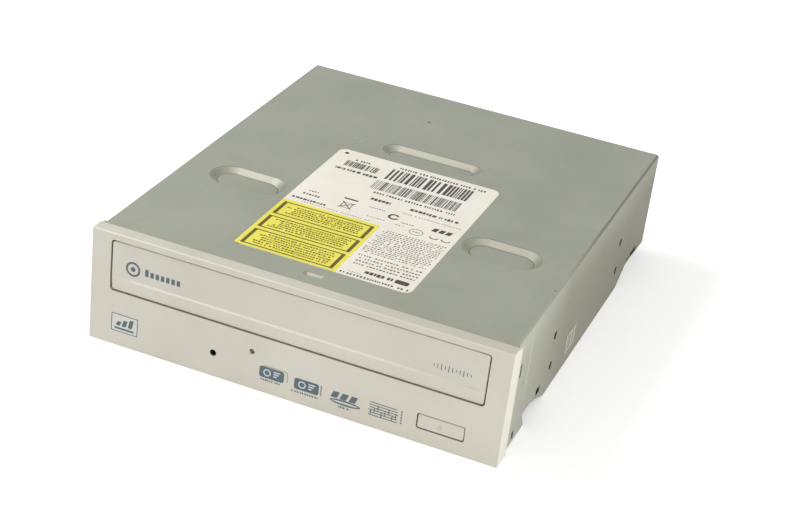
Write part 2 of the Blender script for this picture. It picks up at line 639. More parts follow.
def frontBezel(values):
    shell = Shell()
    front, rear, plate, rim = values["front"], values["rear"], values["plate"], values["rim"]
    half, lap, deep = values["half"], values["overlap"], values["rear"] - values["front"]

    def sides(shape, corner, levels):
        return shell.rounded(*shape, corner, 5, lifted(levels, front), onFront)

    def mouth(name, depth):
        edge = values[name + "Edge"]
        levels = [(edge + grow, sunk) for grow, sunk in roundedEdge(edge, 3)]
        return sides(values[name], values[name + "Corner"], levels + [(0, depth)])

    outside = sides(((-half, half), (0, values["height"])), values["corner"],
                    roundedEdge(values["edge"]) + [(0, deep - values["backEdge"]), (-values["backEdge"], deep)])
    opening, button = mouth("opening", deep), mouth("button", plate)
    holes = [[shell.ring(onFront(circle(middle, radius + grow, 24), front + depth))
              for grow, depth in values["holeEdge"] + [(0, plate)]]
             for middle, radius in (values["ejectHole"], values["lightHole"])]
    pocket = sides(((rim - half, half - rim), (rim, values["pocketTop"])), values["pocketCorner"],
                   [(0, deep), (0, plate)])
    for rings in [outside, opening, button, pocket] + holes:
        shell.loft(rings)
    shell.cover(outside[0], opening[0], button[0], *[rings[0] for rings in holes])
    shell.cover(outside[-1], opening[-1], pocket[0])
    shell.cover(pocket[-1], button[-1], *[rings[-1] for rings in holes])
    clip, (low, high) = values["clipOutside"], values["sideClips"]
    for side in (-1, 1):
        shell.block(mirrored(side, clip - values["clipThick"], clip), (rear - lap, values["clipRear"]),
                    (low, high))
        shell.block(mirrored(side, clip - lap, values["nubOutside"]), values["nub"], (low + lap, high - lap))
        shell.block(mirrored(side, half - values["lipThick"], half - values["lipInset"]),
                    (rear - values["backEdge"], values["lipRear"]), values["lipHeights"])
    for x in values["footClips"]:
        across, (low, high) = span(x, values["footWidth"]), values["footHeights"]
        shell.block(across, (rear - lap, values["footRear"]), (low, high))
        shell.block(across, (front + plate - lap, rear - values["backEdge"]), (rim - lap, high))
    shell.piece("bezel_moulding", "case", "bezel_plastic", ["front_bezel"])


# dark sleeve in the emergency eject hole
ejectSleeve = {"outer": 1.18, "inner": 0.98, "front": -86.72, "rear": -84.7, "edge": 0.05}


def sleeve(values):
    shell = Shell()
    outer, inner, edge, front = values["outer"], values["inner"], values["edge"], values["front"]
    shell.turned([(outer, values["rear"]), (outer, front + edge), (outer - edge, front),
                  (inner + edge, front), (inner, front + edge), (inner, values["rear"])],
                 bezelFace["ejectHole"][0], "y", 24, closed=True)
    shell.piece("eject_sleeve", "case", "dark_plastic")


frontBezel(bezelFace)
sleeve(ejectSleeve)
print("bezel moulded")


# tray door with its crease
doorFace = {
    "span": ((-66.22, 66.22), (20.76, 39.14)), "front": -87.0, "thick": 3.0, "corner": 0.9, "edge": 0.35,
    "crease": 25.65, "creaseRise": 0.42, "creaseHalf": 62.0, "recess": 0.34, "slope": 0.5,
    "tabs": (-40, 40), "tabWidth": 8, "tabHeights": (28.9, 31.3), "tabRear": -81.4,
    "overlap": 0.2, "slack": 0.1,
}


def trayDoor(values):
    shell = Shell()
    front, back = values["front"], values["front"] + values["thick"]
    shell.slab(*values["span"], values["corner"], 5,
               lifted(roundedEdge(values["edge"]) + [(0, values["thick"])], front), lay=onFront)
    crease, rise, half = values["crease"], values["creaseRise"], values["creaseHalf"]
    base = values["span"][1][0]
    for place, normal in (((0, 0, crease + rise), (0, 0, 1)), ((0, 0, crease), (0, 0, 1)),
                          ((-half, 0, 0), (1, 0, 0)), ((half, 0, 0), (1, 0, 0))):
        parts = shell.mesh.verts[:] + shell.mesh.edges[:] + shell.mesh.faces[:]
        bmesh.ops.bisect_plane(shell.mesh, geom=parts, plane_co=Vector(place) * mm, plane_no=normal)
    for vert in shell.mesh.verts:
        height = vert.co.z / mm
        if vert.co.y / mm > back - values["slack"]:
            continue
        if height <= crease + rise / 2:
            vert.co.y += values["slope"] * (crease - height) / (crease - base) * mm
        elif abs(vert.co.x) / mm <= half + values["slack"]:  # above the crease the face lies a little deeper
            vert.co.y += values["recess"] * mm
    for x in values["tabs"]:
        shell.block(span(x, values["tabWidth"]), (back - values["overlap"], values["tabRear"]),
                    values["tabHeights"])
    shell.piece("door_panel", "tray", "bezel_plastic", ["tray_door"], sharp=25)


trayDoor(doorFace)
print("tray door creased")


# disc tray: slab with a round recess, a smaller one inside it, finger notches and the window for the hub
trayBody = {
    "half": 63.2, "front": -83.7, "barRear": -80.7, "rear": 76.0, "base": 24.2, "top": 28.4, "corner": 2.0,
    "bar": (22.6, 33.0), "barCorner": 0.8, "tongue": 65.4, "tongueTop": 26.2, "tongueCorner": 0.5,
    "ribs": (31.6, 49.3), "ribThick": 2.0, "ribBase": 22.2, "centre": (0.0, -12.0), "recess": 61.2,
    "recessFloor": 26.2, "wall": [(0.55, 1.0), (0.55, 0.0), (0.2, -0.15), (0.0, -0.5)], "foot": 0.35,
    "hub": 19.0,
    "small": [(41.0, 0.6), (41.0, 0.0), (40.6, -0.35), (40.6, -0.6), (40.4, -0.8)],
    "window": ((-18.0, 18.0), (-12.0, 51.3)), "windowCorner": 3.0, "notch": 9.0, "notchReach": 61.02,
    "tabHoles": (-40, 40), "tabHole": (8.6, (28.6, 31.6)), "edge": 0.22,
    "webs": (-66, -42, -18, 58, 70), "webThick": 1.4, "webBase": 22.8, "overlap": 0.2,
}
trayRack = {"line": -56.0, "module": 1.0, "gearY": -68.0, "back": -60.5, "base": 21.4, "top": 24.3,
            "backlash": 0.24, "slope": 20, "front": -81.0, "rear": 76.0, "tip": 0.9, "root": 1.25}
seatRings = [  # low rings that carry the disc's edge, with gaps as (heading, half width)
    {"name": "disc_seat", "radii": (58.6, 59.2, 60.0, 60.4), "rise": 0.28, "floor": 26.2,
     "gaps": [(45, 11), (90, 19), (135, 11), (225, 11), (315, 11)]},
    {"name": "small_disc_seat", "radii": (37.6, 38.2, 39.0, 39.4), "rise": 0.28, "floor": 25.4,
     "gaps": [(90, 29)]},
]


def notchedCircle(values, grow):  # outline of the recess with its four finger notches
    x, y = values["centre"]
    radius, notch, reach = values["recess"] + grow, values["notch"] + grow, values["notchReach"]
    wide = math.acos((radius ** 2 + reach ** 2 - notch ** 2) / (2 * radius * reach))
    turn = math.acos((radius ** 2 - reach ** 2 - notch ** 2) / (2 * reach * notch))
    points = []
    for quarter in range(4):
        heading = math.radians(45 + 90 * quarter)
        for i in range(17):
            angle = heading + turn * (i / 8 - 1)
            points.append((x + reach * math.cos(heading) + notch * math.cos(angle),
                           y + reach * math.sin(heading) + notch * math.sin(angle)))
        sweep = math.pi / 2 - 2 * wide
        for i in range(1, 30):
            angle = heading + wide + sweep * i / 30
            points.append((x + radius * math.cos(angle), y + radius * math.sin(angle)))
    return points


def rackOutline(values):  # teeth face the gear, with a space where the gear has a tooth
    module, line, front, rear = values["module"], values["line"], values["front"], values["rear"]
    pitch, slope = math.pi * module, math.tan(math.radians(values["slope"]))
    tip, root, half = values["tip"] * module, values["root"] * module, pitch / 4 - values["backlash"] / 2
    points = [(values["back"], rear), (values["back"], front), (line - root, front)]
    middle = values["gearY"] + (math.ceil((front - values["gearY"]) / pitch + 0.5) + 0.5) * pitch
    while middle < rear - pitch:
        points += [(line - root, middle - half - root * slope), (line + tip, middle + tip * slope - half),
                   (line + tip, middle + half - tip * slope), (line - root, middle + half + root * slope)]
        middle += pitch
    return points + [(line - root, rear)]


def discTray(values):
    solid, cutters = Shell(), Shell()
    half, front, rear, barRear = values["half"], values["front"], values["rear"], values["barRear"]
    base, top, floor, centre = values["base"], values["top"], values["recessFloor"], values["centre"]
    solid.slab((-half, half), (front, rear), values["corner"], 5, between(base, top))
    solid.slab(span(0, 2 * values["tongue"]), (barRear, rear), values["tongueCorner"], 3,
               between(base, values["tongueTop"]))
    solid.slab((-half, half), values["bar"], values["barCorner"], 4, between(front, barRear), lay=onFront)
    ledge = base + values["overlap"]
    for x in values["ribs"]:
        solid.block(span(x, values["ribThick"]), (barRear - values["overlap"], rear - 1),
                    (values["ribBase"], ledge))
    for y in values["webs"]:
        solid.block(values["ribs"], span(y, values["webThick"]), (values["webBase"], ledge))
    cutters.stack(*[onTop(notchedCircle(values, grow), level) for grow, level in lifted(values["wall"], top)
                    + [(0, floor + values["foot"]), (-values["foot"], floor)]])
    cutters.turned(lifted(values["small"], floor), centre, sides=128)
    cutters.bore(centre, values["hub"], base - 1, top, 96)
    cutters.slab(*values["window"], values["windowCorner"], 6, between(base - 1, top + 1))
    wide, heights = values["tabHole"]
    for x in values["tabHoles"]:
        cutters.block(span(x, wide), (front - 1, barRear + 1), heights)
    carved(solid, cutters).piece("tray_moulding", "tray", "dark_plastic", ["disc_tray"],
                                 bevel=values["edge"], sharp=35)


def rackStrip(values):
    shell = Shell()
    shell.stack(*[onTop(rackOutline(values), z) for z in (values["base"], values["top"])])
    shell.piece("tray_rack", "tray", "dark_plastic")


def seatRing(name, radii, rise, floor, gaps):
    shell = Shell()
    x, y = trayBody["centre"]
    following = gaps[1:] + [(gaps[0][0] + 360, gaps[0][1])]
    for (middle, half), (nextMiddle, nextHalf) in zip(gaps, following):
        start, end = middle + half, nextMiddle - nextHalf
        steps = max(4, round((end - start) / 2.5))
        rows = []
        for step in range(steps + 1):
            turn = math.radians(start + (end - start) * step / steps)
            tall = rise * (1 if 0 < step < steps else 0.2) + 0.05
            rows.append([(x + radius * math.cos(turn), y + radius * math.sin(turn), floor - 0.05 + up)
                         for radius, up in zip(radii, (0, tall, tall, 0))])
        shell.stack(*rows)
    shell.piece(name, "tray", "dark_plastic")


# small tabs that swivel over a disc's edge when the drive stands on its side
discTabs = {"reach": 61.9, "headings": (20, 160, 205, 335), "slot": (1.9, 0.5), "slotHeights": (29.2, 29.75),
            "profile": [(3.3, 28.3), (3.3, 29.0), (3.05, 29.35), (2.2, 29.5), (1.9, 29.4)]}


def swivelTabs(values):
    shell = Shell()
    x, y = trayBody["centre"]
    long, half = values["slot"]
    for heading in values["headings"]:
        along, aside = math.cos(math.radians(heading)), math.sin(math.radians(heading))
        spot = x + values["reach"] * along, y + values["reach"] * aside
        shell.turned(values["profile"], spot, sides=36)
        grip = [(spot[0] + a * along - b * aside, spot[1] + a * aside + b * along)
                for a, b in ((-long, -half), (long, -half), (long, half), (-long, half))]
        shell.stack(*[onTop(grip, z) for z in values["slotHeights"]])
    shell.piece("tray_tabs", "tray", "dark_plastic", bevel=0.1)


discTray(trayBody)
rackStrip(trayRack)
for seat in seatRings:
    seatRing(**seat)
swivelTabs(discTabs)
print("tray moulded")


# bottom pan: floor, side flanges and rear wall from one sheet, with dimples, ribs and cut-outs
basePan = {
    "half": 71.9, "front": -81.5, "rear": 86.7, "base": 0.35, "thick": 0.8, "top": 40.55, "flangeTop": 8.75,
    "flangeFront": -38.4, "edge": 0.3, "dimples": [(x, y) for x in (-59.8, 59.8) for y in (-51.0, 68.0)],
    "well": [(5.5, -0.5), (5.5, 0.0), (4.9, 0.35), (4.2, 1.5)], "wall": [(6.3, 0.0), (5.7, 0.35), (5.0, 1.5)],
    "screwHole": 1.65, "studs": [(x, y) for x in (-54.5, 54.5) for y in (12.0, 78.0)], "studRadius": 3.5,
    "studTop": 3.0, "ribs": (-30, 30), "ribWide": 9.0, "ribAlong": (-21, 39), "ribCorner": 3,
    "ribWell": [(-0.3, -0.5), (-0.3, 0.0), (-1.4, 0.9)], "ribWall": [(0.0, 0.0), (-1.1, 0.9)],
    "mounts": [(x, y) for x in (-69.85, 69.85) for y in (-34.4, 44.85)], "mountRadius": 1.5,
    "sideNotch": (66.0, (-62.5, -38.4)), "rearNotch": (70.2, (50.0, 87.7), 7.7),
    "sockets": [((-62.25, -40.15), (3.9, 15.3)), ((-34.3, 24.3), (3.9, 13.5)), ((29.35, 42.65), (3.9, 9.5)),
                ((46.9, 60.1), (3.9, 10.9))], "socketCorner": 0.4,
    "stamps": [(x, -66.0) for x in (-12, 12)], "stampSize": (9, 2.4), "stampCorner": 1.19,
    "stampWell": [(0, -0.5), (0, 0), (-0.3, 0.3)],
}


def bottomPan(values):
    solid, cutters = Shell(), Shell()
    half, base, thick = values["half"], values["base"], values["thick"]
    floor, front, rear = base + thick, values["front"], values["rear"]
    solid.block((-half, half), (front, rear), (base, floor))
    solid.block((-half, half), (rear - thick, rear), (base, values["top"]))
    for side in (-1, 1):
        solid.block(mirrored(side, half, half - thick), (values["flangeFront"], rear),
                    (base, values["flangeTop"]))
    for spot in values["dimples"]:
        solid.turned(lifted(values["wall"], floor), spot, sides=40)
        cutters.turned(lifted(values["well"], base), spot, sides=40)
        cutters.bore(spot, values["screwHole"], base - 1, floor + 3)
    for spot in values["studs"]:
        solid.bore(spot, values["studRadius"], base + 0.1, values["studTop"], 32)
    for x in values["ribs"]:
        shape = span(x, values["ribWide"]), values["ribAlong"], values["ribCorner"], 6
        solid.slab(*shape, lifted(values["ribWall"], floor))
        cutters.slab(*shape, lifted(values["ribWell"], base))
    for spot in values["mounts"]:
        cutters.bore(spot, values["mountRadius"], base - 1, floor + 1)
    wide, deep = values["stampSize"]
    for x, y in values["stamps"]:
        cutters.slab(span(x, wide), span(y, deep), values["stampCorner"], 6, lifted(values["stampWell"], base))
    for side in (-1, 1):
        inner, along = values["sideNotch"]
        cutters.block(mirrored(side, inner, half + 1), along, (base - 1, floor + 0.001))
        inner, along, top = values["rearNotch"]
        cutters.block(mirrored(side, inner, half + 1), along, (base - 1, top))
    for across, heights in values["sockets"]:
        cutters.slab(across, heights, values["socketCorner"], 3, between(rear - 2, rear + 1), lay=onFront)
    carved(solid, cutters).piece("base_pan", "case", "galvanised_steel", ["bottom_cover"],
                                 bevel=values["edge"], sharp=50)


bottomPan(basePan)
print("bottom pan pressed")


# screws with a cross recess and a threaded shank; head shape and recess are shares of the head's radius
screwShape = {
    "head": [(1, 0), (1, 0.45), (0.96, 0.7), (0.88, 0.88), (0.72, 1)], "recess": [(1, 1), (0.55, 0.25)],
    "arm": 0.52, "armHalf": 0.14, "pitch": 0.5, "threadDepth": 0.16, "point": 0.6,
}
coverScrew = {"head": 2.6, "seat": 1.55, "thick": 1.0, "shank": 1.35, "length": 7.7, "up": -1}
bridgeScrew = {"head": 2.4, "seat": 36.3, "thick": 1.0, "shank": 1.2, "length": 6.0, "up": 1,
               "spots": [(-63.4, -12.0), (63.4, -12.0)]}


def crossScrew(name, node, body, spot, values, place=None, shape=screwShape):
    shell = Shell(place)
    radius, seat, up, thread = values["head"], values["seat"], values["up"], values["shank"]
    tall, pitch = up * values["thick"], shape["pitch"]
    rings = [shell.ring(onTop(circle(spot, radius * share, 32), seat + tall * rise))
             for share, rise in shape["head"]]
    arm, half = radius * shape["arm"], radius * shape["armHalf"]
    quarter = ((arm, -half), (arm, half), (half, half))
    cross = [point for turn in ((1, 0), (0, 1), (-1, 0), (0, -1)) for point in
             ((a * turn[0] - b * turn[1], a * turn[1] + b * turn[0]) for a, b in quarter)]
    mouth, floor = [shell.ring(onTop([(spot[0] + a * scale, spot[1] + b * scale) for a, b in cross],
                                     seat + tall * rise)) for scale, rise in shape["recess"]]
    shell.loft(rings)
    shell.cover(rings[-1], mouth)
    shell.strip(mouth, floor)
    shell.cover(floor)
    levels = [(thread - shape["threadDepth"] * (i % 2), seat - up * i * pitch / 2)
              for i in range(int(values["length"] / pitch * 2))]
    levels.append((thread * shape["point"], seat - up * values["length"]))
    shank = [shell.ring(onTop(circle(spot, size, 24), level)) for size, level in levels]
    shell.loft(shank)
    shell.cover(rings[0], shank[0])
    shell.cover(shank[-1])
    shell.piece(name, body, "bright_steel", [node], sharp=32)


for i, spot in enumerate(basePan["dimples"], 1):
    crossScrew("pan_screw_%d" % i, "cover_screw_%d" % i, "case", spot, coverScrew)
for i, spot in enumerate(bridgeScrew["spots"], 1):
    crossScrew("clamp_screw_%d" % i, "bridge_screw_%d" % i, "case", spot, bridgeScrew)
print("case screws driven")


# rear sockets and headers, their shells and their pins
rearRow = {
    "rear": 87.0, "wall": 1.2, "edge": 0.25, "pitch": 2.54, "pin": 0.32, "pinTip": 0.6, "root": 0.3,
    "flare": (0.35, 0.2),
    "data": {"across": (-34, 24), "heights": (4.2, 13.2), "depth": 10, "inner": 78.2, "middle": (-5.0, 8.7),
             "pins": 20, "reach": 4.4, "blank": (10, -1), "corner": 0.3, "straight": 0.5,
             "key": ((-7.1, -2.9), (83.2, 88), (11.5, 14.2))},
    "power": {"across": (-61.95, -40.45), "heights": (4.2, 15.0), "depth": 12, "inner": 76.2, "corner": 2.6,
              "outerCorner": 0.5, "middle": (-51.2, 9.6), "pins": 4, "pitch": 5.08, "radius": 1.05,
              "reach": 6.4, "straight": 0.6, "tip": [(1, 0.9), (0.85, 0.4), (0.45, 0)]},
    "jumper": {"across": (29.65, 42.35), "heights": (4.2, 9.2), "along": (76.4, 82.4), "middle": (36.0, 6.7),
               "pins": 5, "rows": (-1.27, 1.27), "cap": 3, "capSize": (2.3, 4.65), "capLift": 0.175,
               "capLevels": [(0, 82.6), (0, 86.5), (-0.25, 86.75)], "capCorner": 0.3},
    "audio": {"across": (47.2, 59.8), "heights": (4.2, 10.6), "along": (74.8, 82.8), "middle": (53.5, 7.4),
              "pins": 4, "rows": (0,), "shroud": 0.9, "shroudRear": 86.7, "shroudTop": 9.2, "ramp": 3.2,
              "rampRear": 84.6},
}


def squarePin(shell, x, z, values, along):
    half, (start, end) = values["pin"], along
    sections = ((half, start), (half, end - values["pinTip"]), (half * 0.45, end))
    shell.stack(*[onFront([(x - size, z - size), (x + size, z - size), (x + size, z + size),
                           (x - size, z + size)], y) for size, y in sections])


def pinPlaces(own, pitch):
    return [own["middle"][0] + (i - (own["pins"] - 1) / 2) * pitch for i in range(own["pins"])]


def mouthLevels(values, own):  # a socket's hollow, flared at its mouth
    wall, rear = values["wall"], values["rear"]
    flare, past = values["flare"]
    return [(-wall, own["inner"]), (-wall, rear - own["straight"]), (flare - wall, rear + past)]


def dataSocket(values):
    own, rear = values["data"], values["rear"]
    solid, cutters, pins = Shell(), Shell(), Shell()
    shape = own["across"], own["heights"], own["corner"], 2
    solid.slab(*shape, between(rear - own["depth"], rear), lay=onFront)
    cutters.slab(*shape, mouthLevels(values, own), lay=onFront)
    cutters.block(*own["key"])
    carved(solid, cutters).piece("data_shell", "case", "dark_plastic", ["data_connector"],
                                 bevel=values["edge"] * 0.5, sharp=50)
    start = own["inner"] - values["root"]
    for i, x in enumerate(pinPlaces(own, values["pitch"])):
        for row in (-1, 1):
            if (i, row) != own["blank"]:  # one place has no pin, as a key
                squarePin(pins, x, own["middle"][1] + row * values["pitch"] / 2, values,
                          (start, own["inner"] + own["reach"]))
    pins.piece("data_pins", "case", "bright_steel")


def chamfered(across, heights, cut, grow=0.0):
    (a, b), (c, d) = (across[0] - grow, across[1] + grow), (heights[0] - grow, heights[1] + grow)
    return [(a, c), (b, c), (b, d - cut), (b - cut, d), (a + cut, d), (a, d - cut)]


def powerSocket(values):
    own, rear = values["power"], values["rear"]
    solid, cutters, pins = Shell(), Shell(), Shell()
    across, heights = own["across"], own["heights"]
    solid.slab(across, heights, own["outerCorner"], 3, between(rear - own["depth"], rear), lay=onFront)
    cutters.stack(*[onFront(chamfered(across, heights, own["corner"], grow), y)
                    for grow, y in mouthLevels(values, own)])
    carved(solid, cutters).piece("power_shell", "case", "white_plastic", ["power_connector"],
                                 bevel=values["edge"], sharp=40)
    radius, start = own["radius"], own["inner"] - values["root"]
    profile = [(radius, start)] + [(radius * share, start + own["reach"] - back) for share, back in own["tip"]]
    for x in pinPlaces(own, own["pitch"]):
        pins.turned(profile, (x, own["middle"][1]), "y", 24)
    pins.piece("power_pins", "case", "bright_steel")


def pinHeader(values, name, node):
    own, rear = values[name], values["rear"]
    base, pins = Shell(), Shell()
    (left, right), (low, high), along, z = own["across"], own["heights"], own["along"], own["middle"][1]
    base.block((left, right), along, (low, high))
    if "shroud" in own:
        wall, back = own["shroud"], (along[1], own["shroudRear"])
        base.block((left, right), back, (low, low + wall))
        for sides in ((left, left + wall), (right - wall, right)):
            base.block(sides, back, (low + wall, own["shroudTop"]))
        base.block(span(own["middle"][0], own["ramp"]), (along[1], own["rampRear"]), (high - wall, high))
    places = pinPlaces(own, values["pitch"])
    for x in places:
        for row in own["rows"]:
            squarePin(pins, x, z + row, values, (along[1] - values["root"], rear))
    base.piece(name + "_base", "case", "dark_plastic", [node], bevel=values["edge"])
    pins.piece(name + "_pins", "case", "bright_steel")
    if "cap" in own:
        cap, (wide, tall) = Shell(), own["capSize"]
        cap.slab(span(places[own["cap"]], wide), span(z + own["capLift"], tall), own["capCorner"], 3,
                 own["capLevels"], lay=onFront)
        cap.piece("jumper_cap", "case", "white_plastic")


dataSocket(rearRow)
powerSocket(rearRow)
pinHeader(rearRow, "jumper", "jumper_header")
pinHeader(rearRow, "audio", "audio_connector")
print("rear sockets fitted")


# indicator light and its pipe, and the plunger behind the button
indicator = {
    "spot": (-13.5, 14.05), "pipe": [(0.186, -86.4), (0.465, -86.3), (0.62, -86.0), (0.62, -81.8)],
    "bulb": [(0.35, -81.3), (0.84, -81.1), (1.204, -80.7), (1.316, -80.1), (1.316, -78.6), (1.4, -78.55),
             (1.4, -77.7)],
}
plungerRod = {"spot": (53.6, 8.28), "profile": [(1.2, -82.1), (1.5, -81.85), (1.5, -80.2), (1.4, -80.1)]}


def turnedPiece(name, body, slot, nodes, profile, spot, axis="z", sides=32, closed=False, place=None):
    shell = Shell(place)
    shell.turned(profile, spot, axis, sides, closed)
    shell.piece(name, body, slot, nodes)


turnedPiece("pipe_lens", "case", "clear_plastic", ["light_pipe"], indicator["pipe"], indicator["spot"], "y", 24)
turnedPiece("bulb_lens", "case", "clear_plastic", ["status_light"], indicator["bulb"], indicator["spot"], "y")
turnedPiece("plunger_rod", "plunger", "dark_plastic", ["switch_plunger"], plungerRod["profile"],
            plungerRod["spot"], "y")
print("indicator and plunger turned")


# clamp: bridge of pressed sheet across the case, and the puck that hangs in it
clampStrip = {
    "half": 68.3, "along": (-27.0, 3.0), "base": 35.0, "thick": 1.0, "corner": 2.0, "hole": 10.0,
    "middle": (0.0, -12.0), "screwHole": 1.5, "ribs": (-21.5, -2.5), "ribAcross": (20.0, 56.0),
    "ribWide": 4.0, "ribCorner": 1.9, "ribWall": [(0, -0.3), (0, 0), (-0.7, 0.55)], "edge": 0.15,
}
puck = {
    "middle": (0.0, -12.0),
    "wheel": [(7.7, 32.5), (8.0, 32.3), (8.0, 31.3), (8.3, 31.0), (15.6, 31.0), (16.0, 31.4), (16.0, 34.3),
              (15.6, 34.7), (9.5, 34.7), (9.5, 36.3), (12.7, 36.3), (13.0, 36.6), (13.0, 37.5), (12.7, 37.8),
              (9.2, 37.8), (8.9, 37.35)],
    "steel": [(8.2, 37.3), (8.6, 37.4), (8.6, 37.6), (8.4, 37.7), (2.4, 37.7), (2.1, 37.55)],
    "felt": [(11.0, 31.1), (11.0, 30.95), (11.2, 30.85), (15.3, 30.85), (15.5, 30.95), (15.5, 31.1)],
}


def clampBridge(values):
    solid, cutters = Shell(), Shell()
    base, top = values["base"], values["base"] + values["thick"]
    solid.slab((-values["half"], values["half"]), values["along"], values["corner"], 4, between(base, top))
    for side in (-1, 1):
        for y in values["ribs"]:
            shape = mirrored(side, *values["ribAcross"]), span(y, values["ribWide"]), values["ribCorner"], 5
            solid.slab(*shape, lifted(values["ribWall"], top))
            cutters.slab(*shape, lifted(values["ribWall"], base))
    for spot in bridgeScrew["spots"]:
        cutters.bore(spot, values["screwHole"], base - 1, top + 1)
    cutters.bore(values["middle"], values["hole"], base - 1, top + 1, 64)
    carved(solid, cutters).piece("clamp_strip", "case", "galvanised_steel", ["clamp_bridge"],
                                 bevel=values["edge"], sharp=50)


clampBridge(clampStrip)
turnedPiece("puck_wheel", "clamp", "white_plastic", ["clamp_puck"], puck["wheel"], puck["middle"], sides=72)
turnedPiece("puck_steel", "clamp", "bright_steel", (), puck["steel"], puck["middle"], sides=72)
turnedPiece("puck_felt", "clamp", "black_rubber", (), puck["felt"], puck["middle"], sides=72, closed=True)
print("clamp bridge and puck fitted")


# pieces on the traverse are drawn level, then hung at the angle where it rests
hinge = {"y": 71.0, "z": 12.0, "turn": math.radians(4.4)}


def hung(point):
    along, up = point[1] - hinge["y"], point[2] - hinge["z"]
    wide, tall = math.cos(hinge["turn"]), math.sin(hinge["turn"])
    return Vector((point[0], hinge["y"] + along * wide - up * tall, hinge["z"] + along * tall + up * wide))


spindle = {
    "middle": (0.0, -12.0),
    "table": [(1.68, 23.2), (13.6, 23.2), (14.0, 23.6), (14.0, 26.8), (13.6, 27.2), (13.3, 27.2),
              (13.2, 27.0), (10.7, 27.0), (10.6, 27.2), (7.4, 27.2), (7.1, 27.9), (6.0, 29.1), (5.5, 29.4),
              (2.5, 29.4), (1.68, 28.9)],
    "tread": [(10.8, 26.95), (10.7, 27.15), (10.9, 27.25), (13.0, 27.25), (13.2, 27.15), (13.1, 26.95)],
    "motor": [(1.4, 19.0), (1.7, 18.8), (5.6, 18.8), (5.9, 19.0), (6.3, 18.8), (7.3, 18.8), (7.6, 19.1),
              (7.6, 20.0), (7.3, 20.3), (4.45, 20.3), (4.45, 21.8), (9.2, 21.8), (9.5, 22.0), (9.5, 22.4),
              (9.2, 22.7), (3.2, 22.7), (3.1, 23.0), (1.5, 23.0), (1.5, 25.1), (1.2, 25.4)],
    "claws": 3, "clawTurn": 0.4, "claw": [(6.7, 27.5), (7.75, 27.75), (7.6, 28.15), (6.2, 28.75)],
    "clawWide": 3.2,
}
sledDrive = {
    "spot": (31.5, 15.1), "flat": 4.3, "cap": [(4.2, -23.0), (4.55, -22.8), (4.55, -22.2)],
    "can": [(4.6, -22.3), (5.0, -21.9), (5.0, -9.5), (4.6, -9.1), (2.2, -9.1), (2.1, -9.0)],
    "tongue": ((29.0, 34.0), (-23.0, -9.0), (18.5, 20.3)),
    "terminals": (29.3, 33.7), "terminal": (1.2, (-23.0, -22.2), 2.0),
    "thread": (-8.7, 60.8), "core": 1.15, "crest": 1.4, "steep": 1.3, "pitch": 3.0,
    "tails": [(-13.7, -8.7), (60.8, 62.8)], "tail": 1.0, "tailEdge": 0.2,
}
guideRails = {"z": 17.2, "rod": [(1.3, -0.8), (1.5, -0.6), (1.5, 60.6), (1.3, 60.8)],
              "across": [("left", -25.0), ("right", 23.0)]}
traverseMounts = {
    "spots": [(x, y) for x in (-42.0, 42.0) for y in (-29.0, 64.0)],
    "rubber": [(1.9, 17.3), (3.4, 17.3), (3.6, 17.5), (3.6, 18.2), (2.9, 18.5), (2.9, 19.1), (3.6, 19.4),
               (3.6, 20.1), (3.4, 20.3), (1.9, 20.3)],
    "screw": {"head": 3.0, "seat": 22.1, "thick": 1.0, "shank": 1.5, "length": 8.0, "up": 1},
}
lens = {
    "middle": (0.0, 11.0),
    "glass": [(2.3, 24.0), (2.3, 24.4), (2.22, 24.7), (1.95, 25.05), (1.55, 25.32), (1.0, 25.46), (0.45, 25.5)],
    "ring": [(2.2, 24.3), (3.1, 24.3), (3.1, 24.75), (2.9, 24.85), (2.45, 24.85), (2.2, 24.6)],
}


def spindleClaws(values):
    shell = Shell(hung)
    x, y = values["middle"]
    for i in range(values["claws"]):
        turn = 2 * math.pi * i / values["claws"] + values["clawTurn"]
        shell.stack(*[[(x + radius * math.cos(turn) - off * math.sin(turn),
                        y + radius * math.sin(turn) + off * math.cos(turn), z) for radius, z in values["claw"]]
                      for off in span(0, values["clawWide"])])
    shell.piece("spindle_claws", "spindle", "white_plastic", bevel=0.12)


def sledMotor(values):
    can, cap = Shell(hung), Shell(hung)
    low, high = span(values["spot"][1], 2 * values["flat"])
    for shell, profile in ((can, values["can"]), (cap, values["cap"])):
        shell.stack(*[onFront([(x, min(max(z, low), high)) for x, z in circle(values["spot"], radius, 40)], y)
                      for radius, y in profile])
    can.block(*values["tongue"])
    can.piece("sled_can", "traverse", "bright_steel", ["sled_motor"], bevel=0.12)
    wide, along, tall = values["terminal"]
    for x in values["terminals"]:
        cap.block(span(x, wide), along, span(values["spot"][1], tall))
    cap.piece("sled_can_cap", "traverse", "white_plastic", bevel=0.08)


def leadScrew(values):
    shell = Shell(hung)
    (x, z), (start, end), core = values["spot"], values["thread"], values["core"]
    sides, steps = 16, 8  # points round the rod, and rings in one turn of the thread
    rings = []
    for i in range(round((end - start) / values["pitch"] * steps) + 1):
        points, y = [], min(start + i * values["pitch"] / steps, end)
        for j in range(sides):
            wave, turn = math.cos(2 * math.pi * (i / steps - j / sides)), 2 * math.pi * j / sides
            radius = core + (values["crest"] - core) * min(1, max(0, 0.5 + wave * values["steep"]))
            points.append((x + radius * math.cos(turn), y, z + radius * math.sin(turn)))
        rings.append(shell.ring(points))
    shell.capped(rings)
    tail, edge = values["tail"], values["tailEdge"]
    for near, far in values["tails"]:
        shell.turned([(tail - edge, near), (tail, near + edge), (tail, far - edge), (tail - edge, far)],
                     (x, z), "y", 24)
    shell.piece("screw_thread", "screw", "bright_steel", ["lead_screw"], sharp=60)


